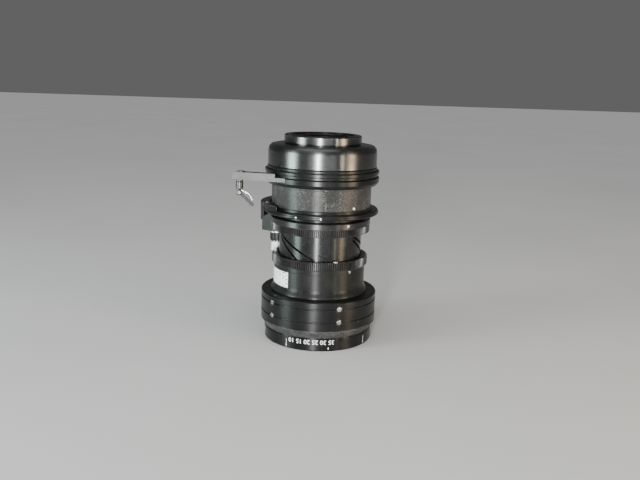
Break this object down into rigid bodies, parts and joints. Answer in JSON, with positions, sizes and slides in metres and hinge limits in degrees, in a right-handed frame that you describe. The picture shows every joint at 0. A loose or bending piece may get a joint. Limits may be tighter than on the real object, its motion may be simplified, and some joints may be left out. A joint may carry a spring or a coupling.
{
  "type": "motorised projector zoom lens",
  "caption": "Long black zoom lens for a projector: cam barrel between geared zoom and focus rings, two motor drives, mounting flange and side arm with a lock lever.",
  "frame": {"origin": "middle of the footprint's box on the plane of the front rim, on which the lens stands; the optical axis is parallel to Z at x 13.55 mm, y -4.75 mm", "axes": "+Z along the optical axis from the front rim to the rear end, -X towards the side arm, +Y towards the focus motor"},
  "size_m": [0.1421, 0.1244, 0.2022],
  "materials": {
    "gloss_black": "black anodised aluminium, polished to a mirror-like gloss",
    "satin_black": "black anodised aluminium, satin, fine turning lines and dust",
    "tooth_black": "black anodised aluminium, milled teeth with dry dark-grey flanks",
    "inner_black": "matte black anodised aluminium, against stray light",
    "silver_ring": "bare turned aluminium, satin",
    "grey_aluminium": "light grey bead-blasted aluminium",
    "steel": "bright steel, machined",
    "brass": "turned and milled brass",
    "motor_can": "plated steel can with a blank white label",
    "coated_glass": "polished optical glass with an anti-reflection coating"
  },
  "bodies": {
    "housing": {"rear_ring": "silver_ring", "rear_shroud": "gloss_black", "mounting_flange": "satin_black", "arm_ring": "satin_black", "rear_barrel": "satin_black", "drive_flange": "satin_black", "guide_tube": "inner_black", "helicoid_ring": "brass", "rear_cell": "inner_black", "rear_glass": "coated_glass", "relay_glass": "coated_glass", "rear_retaining_ring": "inner_black", "aperture_stop": "inner_black", "lock_arm": "grey_aluminium", "lock_post": "steel", "lock_pivot": "steel", "zoom_gear_housing": "satin_black", "zoom_gearbox": "steel", "zoom_motor": "motor_can", "zoom_housing_screw_1": "steel", "zoom_housing_screw_2": "steel", "focus_gear_housing": "satin_black", "focus_gearbox": "steel", "focus_motor": "motor_can", "focus_housing_screw": "steel"},
    "zoom_barrel": {"cam_barrel": "gloss_black", "zoom_gear_ring": "tooth_black", "zoom_ring_screw_1": "steel", "zoom_ring_screw_2": "steel", "zoom_ring_screw_3": "steel"},
    "variator_group": {"variator_cell": "inner_black", "variator_glass": "coated_glass", "variator_retaining_ring": "inner_black", "variator_pin_1": "brass", "variator_pin_2": "brass", "variator_pin_3": "brass"},
    "compensator_group": {"compensator_cell": "inner_black", "compensator_glass": "coated_glass", "compensator_retaining_ring": "inner_black", "compensator_pin_1": "brass", "compensator_pin_2": "brass", "compensator_pin_3": "brass"},
    "zoom_pinion": {"zoom_pinion": "brass"},
    "focus_ring": {"focus_gear_ring": "tooth_black"},
    "front_group": {"front_ring": "gloss_black", "taper_ring": "satin_black", "front_barrel": "satin_black", "lower_barrel": "gloss_black", "focus_set_screw": "steel", "front_cell": "inner_black", "front_glass": "coated_glass", "middle_glass": "coated_glass", "inner_glass": "coated_glass", "front_retaining_ring": "inner_black"},
    "focus_pinion": {"focus_pinion": "brass"},
    "lock_lever": {"lock_lever": "grey_aluminium", "lever_spring": "steel"}
  },
  "joints": [
    {"name": "zoom_turn", "type": "hinge", "parent": "housing", "child": "zoom_barrel", "pos_m": [0.01355, -0.00475, 0.094], "axis": [0, 0, 1], "range_deg": [0, 60]},
    {"name": "variator_slide", "type": "slide", "parent": "housing", "child": "variator_group", "axis": [0, 0, 1], "range_m": [0, 0.02095]},
    {"name": "compensator_slide", "type": "slide", "parent": "housing", "child": "compensator_group", "axis": [0, 0, 1], "range_m": [0, 0.03143]},
    {"name": "zoom_pinion_turn", "type": "hinge", "parent": "housing", "child": "zoom_pinion", "pos_m": [-0.03095, 0.02584, 0.113], "axis": [0, 0, 1], "continuous": true},
    {"name": "focus_turn", "type": "hinge", "parent": "housing", "child": "focus_ring", "pos_m": [0.01355, -0.00475, 0.081], "axis": [0, 0, 1], "range_deg": [0, 120]},
    {"name": "focus_slide", "type": "slide", "parent": "focus_ring", "child": "front_group", "axis": [0, 0, -1], "range_m": [0, 0.005]},
    {"name": "focus_pinion_turn", "type": "hinge", "parent": "housing", "child": "focus_pinion", "pos_m": [0.01355, 0.05195, 0.081], "axis": [0, 0, 1], "continuous": true},
    {"name": "lock_lever_swing", "type": "hinge", "parent": "housing", "child": "lock_lever", "pos_m": [-0.06425, -0.03105, 0.147], "axis": [0, 1, 0], "range_deg": [0, 90]}
  ],
  "couplings": [
    {"joint": "variator_slide", "follows": "zoom_turn", "m_per_rad": 0.02},
    {"joint": "compensator_slide", "follows": "zoom_turn", "m_per_rad": 0.03},
    {"joint": "zoom_pinion_turn", "follows": "zoom_turn", "ratio": -8},
    {"joint": "focus_slide", "follows": "focus_turn", "m_per_rad": 0.0023873},
    {"joint": "focus_pinion_turn", "follows": "focus_turn", "ratio": -4.7273}
  ]
}
